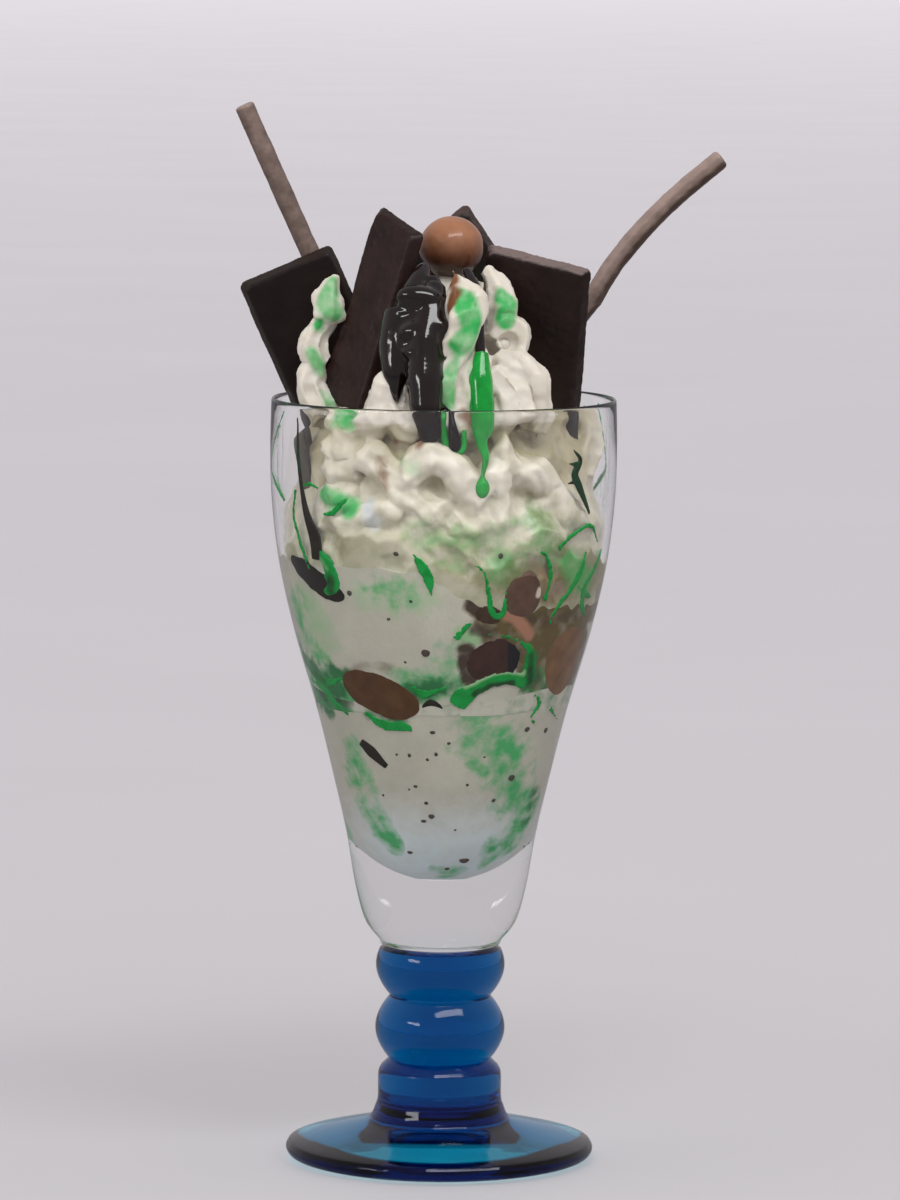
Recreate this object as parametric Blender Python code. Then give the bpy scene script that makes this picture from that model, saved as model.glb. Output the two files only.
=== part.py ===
"""Ice cream sundae in its footed glass: a turned clear bowl on a blue stem, two fillings of ice cream
with a layer of mint syrup between them, piped cream, malt balls, mint thins and chocolate sticks.

All lengths below are millimetres, turned into metres where a mesh is made. +Z is up, the origin is the
centre of the foot's underside, and the served side faces -Y.
"""
import math

import bpy
import bmesh
import numpy as np
from mathutils import Vector

MM = 0.001
GAP = 0.3  # clearance kept between pieces that touch
LIFT = 0.6  # clearance between fillings, whose uneven facets cross
SIDES = 36  # facets round the bowl and the fillings
STEM_SIDES = 26
CREAM_SIDES = 45
STICK_SIDES = 10

# Glass
FOOT_RADIUS = 41.3
FOOT_EDGE = 4.6  # height of the foot's top edge
COLLAR_RADIUS = 16.5
RING_RADIUS = 17.1
NECK_RADIUS = 13.7
STEM_TOP = 57.2
BOWL_BASE = STEM_TOP + GAP
RIM_TOP = 204.6
RIM_WALL = 1.6
# Where the bowl's outer wall passes, from its base to just under the rim: (height, radius)
BOWL_OUTSIDE = [(59.0, 16.4), (64.5, 20.4), (75.0, 23.2), (88.0, 25.4), (104.0, 29.1), (122.0, 33.6),
                (142.0, 39.5), (161.0, 43.8), (178.0, 45.8), (192.0, 46.2), (203.2, 46.0)]
# The inner wall is thick and rounded at the bottom and thin from half way up
BOWL_INSIDE = [(77.6, 4.5), (79.6, 9.0), (83.5, 13.6), (90.0, 18.4), (104.0, 25.3), (122.0, 31.4),
               (142.0, 37.5), (161.0, 42.0), (178.0, 44.1), (192.0, 44.5), (203.2, 44.4)]
BOWL_FLOOR = 77.0

# Fillings
LOWER_TOP = 125.0
SCOOP_TOP = 155.0
SYRUP_DEPTH = 3.6
CREAM_TOP = 238.5
# The cream's heap above the level where it leaves the wall: (height, radius, depth of its folds)
HEAP = [(164.0, 41.2, 0.3), (171.0, 40.2, 0.9), (178.0, 38.0, 1.6), (185.0, 34.6, 2.4), (191.0, 34.4, 2.6),
        (197.0, 32.6, 2.6), (203.0, 32.8, 3.0), (209.0, 28.6, 3.0), (216.0, 27.4, 3.2), (223.0, 22.0, 3.0),
        (230.0, 17.5, 2.4), (236.0, 8.5, 0.8)]
FOLDS = 9
TWIST = 7.0  # height over which the folds wind on by one radian
# Peaks that the nozzle left: (x, y, rise, spread)
PEAKS = [(1.6, -19.0, 11.0, 3.6), (12.8, -17.0, 11.0, 3.4), (-30.5, -5.0, 19.0, 4.2)]

# Toppings
BALL_RADIUS = 8.4
THIN_DEPTH = 3.4
THIN_DRAFT = 1.5  # how far a thin's face is smaller than its back on each side
STICK_RADIUS = 2.7


def through(stations, count):
    """Evenly spaced points on a smooth curve through the stations (Catmull-Rom on their heights)."""
    ends = [2 * np.array(stations[0]) - stations[1]] + [np.array(s) for s in stations]
    ends.append(2 * np.array(stations[-1]) - stations[-2])
    points = []
    for t in np.linspace(0, len(stations) - 1, count):
        k = min(int(t), len(stations) - 2)
        a, b, c, d = ends[k:k + 4]
        s = t - k
        points.append(0.5 * (2 * b + (c - a) * s + (2 * a - 5 * b + 4 * c - d) * s ** 2
                             + (3 * b - a - 3 * c + d) * s ** 3))
    return [tuple(p) for p in points]


INNER_WALL = [(BOWL_FLOOR, 0.0)] + through(BOWL_INSIDE, 11)


def wall_radius(height):
    """Radius of the bowl's inner wall at a height."""
    return float(np.interp(height, [z for z, _ in INNER_WALL], [r for _, r in INNER_WALL]))


# ---- finishes ----

def finish(name, colour, roughness, metallic=0.0, clear=0.0):
    material = bpy.data.materials.new(name)
    material.use_nodes = True
    shader = material.node_tree.nodes["Principled BSDF"]
    shader.inputs["Base Color"].default_value = (*colour, 1.0)
    shader.inputs["Roughness"].default_value = roughness
    shader.inputs["Metallic"].default_value = metallic
    shader.inputs["Transmission Weight"].default_value = clear
    return material


# ---- mesh makers ----

def place(name, mesh, material, helper=False):
    """Turns a bmesh into a named object; a helper is a cutter that is never part of the model."""
    bmesh.ops.recalc_face_normals(mesh, faces=mesh.faces)
    data = bpy.data.meshes.new(name)
    mesh.to_mesh(data)
    mesh.free()
    data.shade_smooth()
    data.set_sharp_from_angle(angle=math.radians(40))
    piece = bpy.data.objects.new(name, data)
    bpy.context.scene.collection.objects.link(piece)
    if material:
        data.materials.append(material)
    if helper:
        piece.hide_render = True
        piece.display_type = "WIRE"
    return piece


def lathe(name, outline, sides, material):
    """Spins an outline of (radius, height) points that starts and ends on the axis."""
    mesh = bmesh.new()
    chain = [mesh.verts.new((r * MM, 0, z * MM)) for r, z in outline]
    edges = [mesh.edges.new(pair) for pair in zip(chain, chain[1:])]
    bmesh.ops.spin(mesh, geom=chain + edges, cent=(0, 0, 0), axis=(0, 0, 1),
                   angle=math.tau, steps=sides, use_merge=True)
    bmesh.ops.remove_doubles(mesh, verts=mesh.verts, dist=1e-6)
    return place(name, mesh, material)


def skin(name, rings, material=None, helper=False):
    """Closes a stack of rings into one body; a ring of one point is a pole, another end ring is capped."""
    mesh = bmesh.new()
    rows = [[mesh.verts.new(Vector(p) * MM) for p in ring] for ring in rings]
    for low, high in zip(rows, rows[1:]):
        count = max(len(low), len(high))
        for i in range(count):
            j = (i + 1) % count
            corners = [low[i % len(low)], low[j % len(low)], high[j % len(high)], high[i % len(high)]]
            mesh.faces.new(list(dict.fromkeys(corners)))
    for row in (rows[0], rows[-1]):
        if len(row) > 1:
            mesh.faces.new(row)
    return place(name, mesh, material, helper)


def circle(radius, height):
    ring = []
    for i in range(SIDES):
        angle = math.tau * i / SIDES
        ring.append((radius * math.cos(angle), radius * math.sin(angle), height))
    return ring


def plate(name, corners, depth, material=None, draft=THIN_DRAFT, ragged=0.0, grow=0.0, helper=False):
    """A moulded thin from three corners of its back outline (top left, top right, bottom left).

    Its face is smaller than its back by the draft; a ragged plate has a broken left edge.
    """
    top_left, top_right, bottom_left = (Vector(c) for c in corners)
    across = top_right - top_left
    down = bottom_left - top_left
    width, length = across.length, down.length
    across.normalize()
    down.normalize()
    inward = down.cross(across).normalized()  # away from the served side, or from the wall at its left
    if inward.dot(Vector((0.3, 1, 0))) < 0:
        inward = -inward
    corner = 1.2
    outline = []
    for x, y, start in ((width - corner, corner, -90), (width - corner, length - corner, 0),
                        (corner, length - corner, 90)):
        for step in (0, 45, 90):
            turn = math.radians(start + step)
            outline.append((x + corner * math.cos(turn), y + corner * math.sin(turn)))
    teeth = 7 if ragged else 1
    for k in range(1, teeth + 1):
        share = k / (teeth + 1)
        outline.append((ragged * math.sin(5.1 * k), length * (1 - share)))
    outline.append((0.0, corner))
    outline.append((corner, 0.0))
    centre = (width / 2, length / 2)

    def ring(inset, back):
        points = []
        for x, y in outline:
            x += (-1 if x > centre[0] else 1) * inset
            y += (-1 if y > centre[1] else 1) * inset
            points.append(top_left + across * x + down * y + inward * back)
        return points

    levels = [(draft + 0.5, 0.0), (draft, 0.4), (0.0, depth - 0.5), (0.5, depth)]
    if grow:
        levels = [(-grow + draft, -grow), (-grow, depth - 0.5), (-grow, depth + grow)]
    return skin(name, [ring(*level) for level in levels], material, helper)


def tube(name, route, radius, material=None, helper=False, spill=0.0):
    """A stick along a route in the stand-up plane, with eased ends; spill lengthens a cutter's ends."""
    points = [Vector(p) for p in through(route, 2 * len(route))]
    if spill:
        points[0] += (points[0] - points[1]).normalized() * spill
        points[-1] += (points[-1] - points[-2]).normalized() * spill
    ease = 0.5
    stations = [(points[0], radius - ease)]
    stations.append((points[0] + (points[1] - points[0]).normalized() * ease, radius))
    stations += [(p, radius) for p in points[1:-1]]
    stations.append((points[-1] + (points[-2] - points[-1]).normalized() * ease, radius))
    stations.append((points[-1], radius - ease))
    rings = []
    for k, (centre, r) in enumerate(stations):
        ahead = stations[min(k + 1, len(stations) - 1)][0] - stations[max(k - 1, 0)][0]
        side = ahead.cross(Vector((0, 1, 0))).normalized()
        out = side.cross(ahead).normalized()
        rings.append([centre + (side * math.cos(t) + out * math.sin(t)) * r
                      for t in np.linspace(0, math.tau, STICK_SIDES, endpoint=False)])
    return skin(name, rings, material, helper)


def ball(name, centre, radius, material=None, helper=False):
    mesh = bmesh.new()
    bmesh.ops.create_uvsphere(mesh, u_segments=16, v_segments=10, radius=radius * MM)
    bmesh.ops.translate(mesh, verts=mesh.verts, vec=Vector(centre) * MM)
    return place(name, mesh, material, helper)


def chunk(name, centre, facing, size, tilt, material=None, helper=False, grow=0.0, outward=0.0):
    """A broken piece that lies flat against the wall at an angle round the bowl, tilted in its own plane."""
    out = Vector((math.sin(facing), -math.cos(facing), 0))
    along = Vector((math.cos(facing), math.sin(facing), 0))
    up = Vector((0, 0, 1))
    run = along * math.cos(tilt) - up * math.sin(tilt)
    rise = along * math.sin(tilt) + up * math.cos(tilt)
    half_run, half_rise, half_depth = (s / 2 + grow for s in size)
    shape = [(1.0, 0.3), (0.55, 0.95), (-0.35, 1.0), (-1.0, 0.55), (-0.9, -0.6), (-0.2, -1.0), (0.8, -0.8)]
    rings = []
    for depth, share in ((-half_depth, 0.86), (-half_depth * 0.6, 1.0),
                         (half_depth * 0.6 + outward, 1.0), (half_depth + outward, 0.86)):
        rings.append([Vector(centre) + run * half_run * u * share + rise * half_rise * v * share
                      + out * depth for u, v in shape])
    return skin(name, rings, material, helper)


def carve(body, cutters):
    for cutter in cutters:
        cut = body.modifiers.new(cutter.name, "BOOLEAN")
        cut.operation = "DIFFERENCE"
        cut.solver = "EXACT"
        cut.object = cutter


# ---- glass ----

def bead(low, high, crest, count):
    """Half of a turned ring: (radius, height) points from one neck over the crest to the next."""
    points = []
    for k in range(count):
        t = 2 * k / (count - 1) - 1
        bulge = (1 - abs(t) ** 2.6) ** 0.5
        points.append((NECK_RADIUS + (crest - NECK_RADIUS) * bulge, low + (high - low) * (t + 1) / 2))
    return points


def glass_stem(material):
    foot = [(0, 0), (FOOT_RADIUS - 3.2, 0), (FOOT_RADIUS - 0.9, 0.8), (FOOT_RADIUS, 2.4),
            (FOOT_RADIUS - 0.5, 3.8), (FOOT_RADIUS - 1.7, FOOT_EDGE), (33.0, 6.3), (25.0, 8.3),
            (19.6, 9.9), (18.5, 11.0)]
    collar = [(17.3, 13.6), (COLLAR_RADIUS + 0.1, 16.2), (COLLAR_RADIUS, 22.6), (15.7, 24.7)]
    lower_ring = bead(27.0, 44.0, RING_RADIUS, 8)
    upper_ring = bead(44.0, STEM_TOP + 1.6, RING_RADIUS - 0.2, 8)[1:-1]
    top = [(0, STEM_TOP)]
    outline = foot + collar + lower_ring + [p for p in upper_ring if p[1] < STEM_TOP]
    outline.append((14.6, STEM_TOP))
    return lathe("glass_stem", outline + top, STEM_SIDES, material)


def glass_bowl(material):
    outside = [(0, BOWL_BASE), (13.4, BOWL_BASE)] + [(r, z) for z, r in through(BOWL_OUTSIDE, 12)]
    lip = RIM_WALL / 2
    middle = outside[-1][0] - lip
    rim = [(middle + lip * math.cos(t), 203.6 + (RIM_TOP - 203.6) * math.sin(t))
           for t in (math.radians(a) for a in (30, 90, 150))]
    inside = [(r, z) for z, r in reversed(INNER_WALL)]
    return lathe("glass_bowl", outside + rim + inside, SIDES, material)


# ---- fillings ----

def lower_top(x, y):
    return LOWER_TOP + 1.0 * math.cos(math.hypot(x, y) / 12) + 0.6 * math.sin(x / 6) * math.cos(y / 7)


def syrup_top(x, y):
    edge = min(1.0, math.hypot(x, y) / 32)
    lean = 1.7 * edge ** 2 * math.cos(2 * math.atan2(y, x) + 0.7)
    return lower_top(x, y) + SYRUP_DEPTH + lean


def scoop_top(x, y):
    return SCOOP_TOP - 4.5 * math.tanh(x / 14) + 1.0 * math.sin(x / 7 + 1) * math.cos(y / 8)


def wall_ring(height_at, sides=SIDES):
    """A ring just inside the bowl's wall, at heights given by a function of x and y near the wall."""
    ring = []
    for i in range(sides):
        angle = math.tau * i / sides
        across, along = math.cos(angle), math.sin(angle)
        guess = wall_radius(height_at(30 * across, 30 * along))
        z = height_at(guess * across, guess * along)
        radius = wall_radius(z) - GAP
        ring.append((radius * across, radius * along, z))
    return ring


def cover(height_at, edge, lift, shares=(0.0, 0.5)):
    """Rings of a level from the middle out to, but not including, an edge ring."""
    rings = []
    for share in shares:
        ring = [(x * share, y * share, height_at(x * share, y * share) + lift) for x, y, _ in edge]
        rings.append(ring if share else ring[:1])
    return rings


def between(low, high, count):
    """Rings on the wall between two wall rings."""
    rings = []
    for k in range(1, count + 1):
        share = k / (count + 1)
        ring = []
        for (x0, y0, z0), (x1, y1, z1) in zip(low, high):
            z = z0 + (z1 - z0) * share
            angle = math.atan2(y0, x0)
            radius = wall_radius(z) - GAP
            ring.append((radius * math.cos(angle), radius * math.sin(angle), z))
        rings.append(ring)
    return rings


def ice_cream_lower(material):
    top = wall_ring(lower_top)
    rings = [[(0, 0, BOWL_FLOOR + GAP + 0.2)]]
    for z in (78.6, 81.0, 85.5, 92.0, 100.0, 109.0, 117.0):
        radius = wall_radius(z) - GAP - 0.4 * (z < 86)
        rings.append(circle(radius, z))
    rings.append(top)
    rings += reversed(cover(lower_top, top, 0))
    return skin("ice_cream_lower", rings, material)


def syrup_layer(material):
    low = wall_ring(lambda x, y: lower_top(x, y) + LIFT)
    high = wall_ring(syrup_top)
    rings = cover(lower_top, low, LIFT) + [low, high] + list(reversed(cover(syrup_top, high, 0)))
    return skin("mint_syrup_layer", rings, material)


def ice_cream_scoop(material):
    low = wall_ring(lambda x, y: syrup_top(x, y) + LIFT)
    high = wall_ring(scoop_top)
    rings = cover(syrup_top, low, LIFT) + [low] + between(low, high, 3) + [high]
    rings += reversed(cover(scoop_top, high, 0))
    return skin("ice_cream_scoop", rings, material)


def whipped_cream(material):
    """Piped cream: a heap with the nozzle's folds winding round it, drawn up into peaks."""
    low = wall_ring(lambda x, y: scoop_top(x, y) + LIFT, CREAM_SIDES)
    rings = cover(scoop_top, low, LIFT) + [low]
    for height, radius, fold in HEAP:
        ring = []
        for i in range(CREAM_SIDES):
            angle = math.tau * i / CREAM_SIDES
            wave = math.cos(FOLDS * angle + height / TWIST) + 0.3 * math.cos(5 * angle - height / TWIST)
            r = radius + fold * wave / 1.3
            x, y, z = r * math.cos(angle), r * math.sin(angle), height
            if height > 200:
                for px, py, rise, spread in PEAKS:
                    z += rise * math.exp(-((x - px) ** 2 + (y - py) ** 2) / (2 * spread ** 2))
            ring.append((x, y, z))
        rings.append(ring)
    rings.append([(0, 0, CREAM_TOP)])
    return skin("whipped_cream", rings, material)


# ---- toppings and pieces in the glass ----

def against_wall(height, facing, back_off):
    """A point at a height, so far in from the wall, at an angle round from the served side."""
    radius = wall_radius(height) - back_off
    return (radius * math.sin(facing), -radius * math.cos(facing), height)


BALL_IN = BALL_RADIUS + 0.6
BALLS = {
    "malt_ball_top": (1.7, 0.0, 244.7),
    "malt_ball_left": against_wall(127.3, math.radians(-30), BALL_IN),
    "malt_ball_right": against_wall(137.6, math.radians(63), BALL_IN),
    "malt_ball_upper": against_wall(155.2, math.radians(31), BALL_IN),
}
# Each thin: top left, top right, bottom left of its outline, how ragged its left edge is
THINS = {
    "mint_thin_left_back": ((-55.3, 2, 234.2), (-30.3, 2, 245.1), (-34.4, 4, 187.4), 0.0),
    "mint_thin_left_front": ((-17.3, -6, 255.0), (-6.3, -18, 248.0), (-31.8, -9, 207.0), 0.5),
    "mint_thin_right": ((10.2, -11, 246.0), (38.0, -17, 239.4), (6.8, 1, 193.0), 0.0),
    "mint_thin_back": ((5.6, 14, 255.8), (32.0, 16, 217.0), (-17.0, 16, 236.0), 0.0),
    "mint_thin_sunk": ((-40.0, -16, 196.0), (-39.0, -4, 196.0), (-34.4, -14.5, 166.5), 0.0),
}
STICKS = {
    "chocolate_stick_left": [(-53.8, 8, 281.8), (-45.2, 9, 262.8), (-36.6, 10, 243.7), (-23.0, 11, 213.5)],
    "chocolate_stick_right": [(73.8, 12, 268.4), (62.7, 11, 259.1), (51.8, 10, 248.2), (43.6, 9, 237.6),
                              (37.8, 8, 226.1), (36.2, 7, 212.0), (36.2, 6, 196.0), (38.4, 3, 177.0)],
}
# Broken pieces: height, angle round from the served side, size along, up and through, tilt in degrees
CHUNKS = {
    "chocolate_piece_left": (157.5, -55, (17.0, 6.6, 3.4), 25),
    "chocolate_piece_front": (137.2, 20, (14.5, 10.5, 3.4), -6),
    "chocolate_piece_upper": (150.6, 11, (8.0, 5.0, 3.2), -12),
}
CAVITY = 1.6  # room left round the broken piece at the front
WALL_SLOPE = 0.3  # how far the wall leans out for each unit of height, at the broken pieces


def toppings(dark, milk, brown):
    """Makes each piece and, by name, the slightly larger cutter that clears it from the fillings."""
    cutters = {}
    for name, centre in BALLS.items():
        ball(name, centre, BALL_RADIUS, milk)
        room = BALL_IN if name != "malt_ball_top" else BALL_RADIUS + GAP
        cutters[name] = ball("room_" + name, centre, room, helper=True)
    for name, (top_left, top_right, bottom_left, ragged) in THINS.items():
        corners = (top_left, top_right, bottom_left)
        plate(name, corners, THIN_DEPTH, dark, ragged=ragged)
        cutters[name] = plate("room_" + name, corners, THIN_DEPTH, grow=GAP + 0.1 + ragged, helper=True)
    for name, route in STICKS.items():
        tube(name, route, STICK_RADIUS, brown)
        cutters[name] = tube("room_" + name, route, STICK_RADIUS + GAP + 0.1, helper=True, spill=0.5)
    for name, (height, facing, size, tilt) in CHUNKS.items():
        facing = math.radians(facing)
        tilt = math.radians(tilt)
        hollow = size[0] ** 2 / (8 * wall_radius(height)) + WALL_SLOPE * size[1] / 2
        centre = against_wall(height, facing, size[2] / 2 + hollow + 2 * GAP)
        chunk(name, centre, facing, size, tilt, dark)
        room = CAVITY if name == "chocolate_piece_front" else GAP + 0.15
        cutters[name] = chunk("room_" + name, centre, facing, size, tilt, helper=True,
                              grow=room, outward=3.0)
    return cutters


def build():
    for old in list(bpy.data.objects):
        bpy.data.objects.remove(old, do_unlink=True)
    clear = finish("clear_glass", (0.95, 0.97, 0.96), 0.03, clear=1.0)
    blue = finish("blue_glass", (0.01, 0.17, 0.42), 0.05, clear=0.8)
    ice = finish("vanilla_ice_cream", (0.62, 0.61, 0.55), 0.5)
    cream = finish("whipped_cream", (0.86, 0.82, 0.74), 0.45)
    syrup = finish("mint_syrup", (0.02, 0.36, 0.11), 0.15)
    dark = finish("dark_chocolate", (0.030, 0.014, 0.010), 0.4)
    milk = finish("milk_chocolate", (0.27, 0.12, 0.07), 0.3)
    brown = finish("stick_chocolate", (0.13, 0.08, 0.06), 0.45)

    glass_stem(blue)
    glass_bowl(clear)
    lower = ice_cream_lower(ice)
    layer = syrup_layer(syrup)
    scoop = ice_cream_scoop(ice)
    heap = whipped_cream(cream)
    rooms = toppings(dark, milk, brown)

    carve(lower, [rooms["malt_ball_left"]])
    carve(layer, [rooms["malt_ball_left"], rooms["malt_ball_right"], rooms["chocolate_piece_front"]])
    in_scoop = ["malt_ball_left", "malt_ball_right", "malt_ball_upper"] + list(CHUNKS)
    carve(scoop, [rooms[name] for name in in_scoop])
    in_heap = ["malt_ball_top", "malt_ball_upper"] + list(THINS) + list(STICKS)
    in_heap += ["chocolate_piece_left", "chocolate_piece_upper"]
    carve(heap, [rooms[name] for name in in_heap])


build()
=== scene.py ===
import math
import random

import bpy
import numpy as np
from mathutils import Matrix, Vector


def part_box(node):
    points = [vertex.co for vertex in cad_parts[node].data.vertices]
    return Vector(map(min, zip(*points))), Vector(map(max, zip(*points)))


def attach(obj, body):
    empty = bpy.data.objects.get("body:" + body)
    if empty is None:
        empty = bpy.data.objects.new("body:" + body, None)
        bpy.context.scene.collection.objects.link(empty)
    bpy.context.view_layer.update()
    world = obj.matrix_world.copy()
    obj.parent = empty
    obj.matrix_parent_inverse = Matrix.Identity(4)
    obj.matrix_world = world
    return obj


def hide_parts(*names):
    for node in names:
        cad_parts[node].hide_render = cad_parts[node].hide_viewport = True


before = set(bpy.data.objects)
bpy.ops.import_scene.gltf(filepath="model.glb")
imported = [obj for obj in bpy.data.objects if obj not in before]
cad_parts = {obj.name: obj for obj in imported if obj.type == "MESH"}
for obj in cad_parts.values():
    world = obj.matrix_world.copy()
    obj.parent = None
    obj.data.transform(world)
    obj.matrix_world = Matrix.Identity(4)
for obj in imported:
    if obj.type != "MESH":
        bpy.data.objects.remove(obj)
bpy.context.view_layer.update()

mm = 0.001
seed = 7

# where the glass stands, from its frame
stemLow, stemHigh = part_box("glass_stem")
bowlLow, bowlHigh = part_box("glass_bowl")
footRadius = stemHigh.x / mm
bowlBase = bowlLow.z / mm
rimTop = bowlHigh.z / mm
rimRadius = bowlHigh.x / mm

lipHeight = 1.4  # of the rounded top of the wall

bowl = {
    "sides": 144,
    "rings": 46,
    "floor": 77.0,
    # (height, radius) up the outside, then up the inside
    "outside": [(bowlBase + 1.5, 16.4), (64.5, 20.4), (75, 23.2), (88, 25.4), (104, 29.1), (122, 33.6),
                (142, 39.5), (161, 43.8), (178, rimRadius - 0.4), (192, rimRadius),
                (rimTop - lipHeight, rimRadius - 0.2)],
    "inside": [(77.6, 4.5), (79.6, 9), (83.5, 13.6), (90, 18.4), (104, 25.3), (122, 31.4), (142, 37.5),
               (161, 42), (178, 44.1), (192, 44.6), (rimTop - lipHeight, 45.0)],
}


def through(stations, count):
    # evenly spaced points on a smooth curve through the stations
    ends = [2 * np.array(stations[0], float) - stations[1]] + [np.array(s, float) for s in stations]
    ends.append(2 * np.array(stations[-1], float) - stations[-2])
    points = []
    for t in np.linspace(0, len(stations) - 1, count):
        k = min(int(t), len(stations) - 2)
        a, b, c, d = ends[k:k + 4]
        s = t - k
        points.append(0.5 * (2 * b + (c - a) * s + (2 * a - 5 * b + 4 * c - d) * s ** 2
                             + (3 * b - a - 3 * c + d) * s ** 3))
    return points


outsideLine = through(bowl["outside"], bowl["rings"])
insideLine = through(bowl["inside"], bowl["rings"])


def wallIn(height):
    return np.interp(height, [p[0] for p in insideLine], [p[1] for p in insideLine])


def wallOut(height):
    return np.interp(height, [p[0] for p in outsideLine], [p[1] for p in outsideLine])


def onWall(x, height, depth=0.0):
    # the place on the food behind the glass that is seen at x, from the served side
    angle = math.asin(max(-1, min(1, x / float(wallOut(height)))))
    radius = float(wallIn(height)) - depth
    return Vector((radius * math.sin(angle), -radius * math.cos(angle), height))


# ways of working that every piece shares
def deselectAll():
    if bpy.context.mode != "OBJECT":
        bpy.ops.object.mode_set(mode="OBJECT")
    bpy.ops.object.select_all(action="DESELECT")


def pick(piece):
    deselectAll()
    piece.select_set(True)
    bpy.context.view_layer.objects.active = piece
    return piece


def editAll(piece):
    pick(piece)
    bpy.ops.object.mode_set(mode="EDIT")
    bpy.ops.mesh.select_all(action="SELECT")


def settle(piece):
    pick(piece)
    bpy.ops.object.transform_apply(location=True, rotation=True, scale=True)
    return piece


def joined(pieces, name):
    deselectAll()
    for piece in pieces:
        piece.select_set(True)
    bpy.context.view_layer.objects.active = pieces[0]
    if len(pieces) > 1:
        bpy.ops.object.join()
    made = bpy.context.object
    made.name = name
    made.data.name = name
    return settle(made)


def applied(piece, kind, **settings):
    pick(piece)
    modifier = piece.modifiers.new(kind.title(), kind)
    for key, value in settings.items():
        setattr(modifier, key, value)
    bpy.ops.object.modifier_apply(modifier=modifier.name)
    return piece


def remeshed(piece, voxel, smoothing=3, factor=0.5):
    applied(piece, "REMESH", mode="VOXEL", voxel_size=voxel * mm)
    if smoothing:
        applied(piece, "SMOOTH", iterations=smoothing, factor=factor)
    return piece


def roughened(piece, size, strength, kind="CLOUDS", depth=2):
    texture = bpy.data.textures.new(piece.name + kind.title(), kind)
    texture.noise_scale = size * mm
    if kind == "CLOUDS":
        texture.noise_depth = depth
    applied(piece, "DISPLACE", texture=texture, texture_coords="LOCAL", strength=strength * mm, mid_level=0.5)
    return piece


def points(piece):
    count = len(piece.data.vertices)
    co = np.empty(count * 3, np.float32)
    piece.data.vertices.foreach_get("co", co)
    return co.reshape(-1, 3).astype(float) / mm


def movePoints(piece, co):
    piece.data.vertices.foreach_set("co", (co * mm).astype(np.float32).ravel())
    piece.data.update()


def paint(piece, name, values):
    attribute = piece.data.attributes.get(name) or piece.data.attributes.new(name, "FLOAT", "POINT")
    attribute.data.foreach_set("value", np.clip(values, 0, 1).astype(np.float32))


def finished(piece, material, stands=(), angle=40):
    pick(piece)
    bpy.ops.object.shade_smooth_by_angle(angle=math.radians(angle))
    piece.data.materials.clear()
    piece.data.materials.append(material)
    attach(piece, "root")
    if stands:
        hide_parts(*stands)
    return piece


def turned(name, outline, sides):
    # a round face pulled up the outline one ring at a time; the outline is (radius, height)
    deselectAll()
    radius, height = outline[0]
    bpy.ops.mesh.primitive_circle_add(vertices=sides, radius=radius * mm, fill_type="NGON",
                                      location=(0, 0, height * mm))
    piece = bpy.context.object
    piece.name = name
    bpy.ops.object.mode_set(mode="EDIT")
    bpy.ops.mesh.select_all(action="SELECT")
    for nextRadius, nextHeight in outline[1:]:
        bpy.ops.mesh.extrude_region_move(TRANSFORM_OT_translate={"value": (0, 0, (nextHeight - height) * mm)})
        scale = nextRadius / radius
        bpy.ops.transform.resize(value=(scale, scale, 1), center_override=(0, 0, nextHeight * mm))
        radius, height = nextRadius, nextHeight
    bpy.ops.mesh.select_all(action="SELECT")
    bpy.ops.mesh.normals_make_consistent(inside=False)
    return settle(piece)


def straightCurve(name, spots):
    curve = bpy.data.curves.new(name, "CURVE")
    spline = curve.splines.new("POLY")
    spline.points.add(len(spots) - 1)
    for point, spot in zip(spline.points, spots):
        point.co = (*spot, 1)
    made = bpy.data.objects.new(name, curve)
    bpy.context.scene.collection.objects.link(made)
    return made, spline


def rope(line, radii, ridges=0, ridgeDepth=0.25, twist=0.0, sides=14):
    # a squeezed-out rope along a line of points; ridges give it the nozzle's star shape
    steps = max(8, 6 * len(line))
    path = through(line, steps)
    size = np.interp(np.linspace(0, 1, steps), np.linspace(0, 1, len(radii)), radii)
    count = ridges * 6 if ridges else sides
    nozzleLine = []
    for i in range(count):
        turn = math.tau * i / count
        reach = 1 - ridgeDepth * (0.5 - 0.5 * math.cos(ridges * turn)) if ridges else 1
        nozzleLine.append((mm * reach * math.cos(turn), mm * reach * math.sin(turn), 0))
    nozzle, rim = straightCurve("nozzle", nozzleLine)
    rim.use_cyclic_u = True
    made, spline = straightCurve("rope", [place * mm for place in path])
    made.data.dimensions = "3D"
    made.data.bevel_mode = "OBJECT"
    made.data.bevel_object = nozzle
    made.data.use_fill_caps = True
    for i, width in enumerate(size):
        spline.points[i].radius = width
        spline.points[i].tilt = twist * i / steps
    pick(made)
    bpy.ops.object.convert(target="MESH")
    bpy.data.objects.remove(nozzle)
    return bpy.context.object


def lump(place, size, turn=(0, 0, 0), detail=3):
    # a rounded lump of cream or sauce
    bpy.ops.object.select_all(action="DESELECT")
    bpy.ops.mesh.primitive_ico_sphere_add(subdivisions=detail, radius=mm, location=Vector(place) * mm,
                                          scale=size, rotation=[math.radians(a) for a in turn])
    return bpy.context.object


# shader parts
def newMaterial(name):
    material = bpy.data.materials.new(name)
    material.use_nodes = True
    tree = material.node_tree
    return material, tree, tree.nodes["Principled BSDF"]


def feed(tree, node, inputs):
    # each input is given a value, or another node's output to read
    for key, value in inputs.items():
        if isinstance(value, bpy.types.NodeSocket):
            tree.links.new(value, node.inputs[key])
        else:
            node.inputs[key].default_value = value
    return node


def addNode(tree, kind, inputs={}, **settings):
    node = tree.nodes.new("ShaderNode" + kind)
    for key, value in settings.items():
        setattr(node, key, value)
    return feed(tree, node, inputs)


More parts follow.
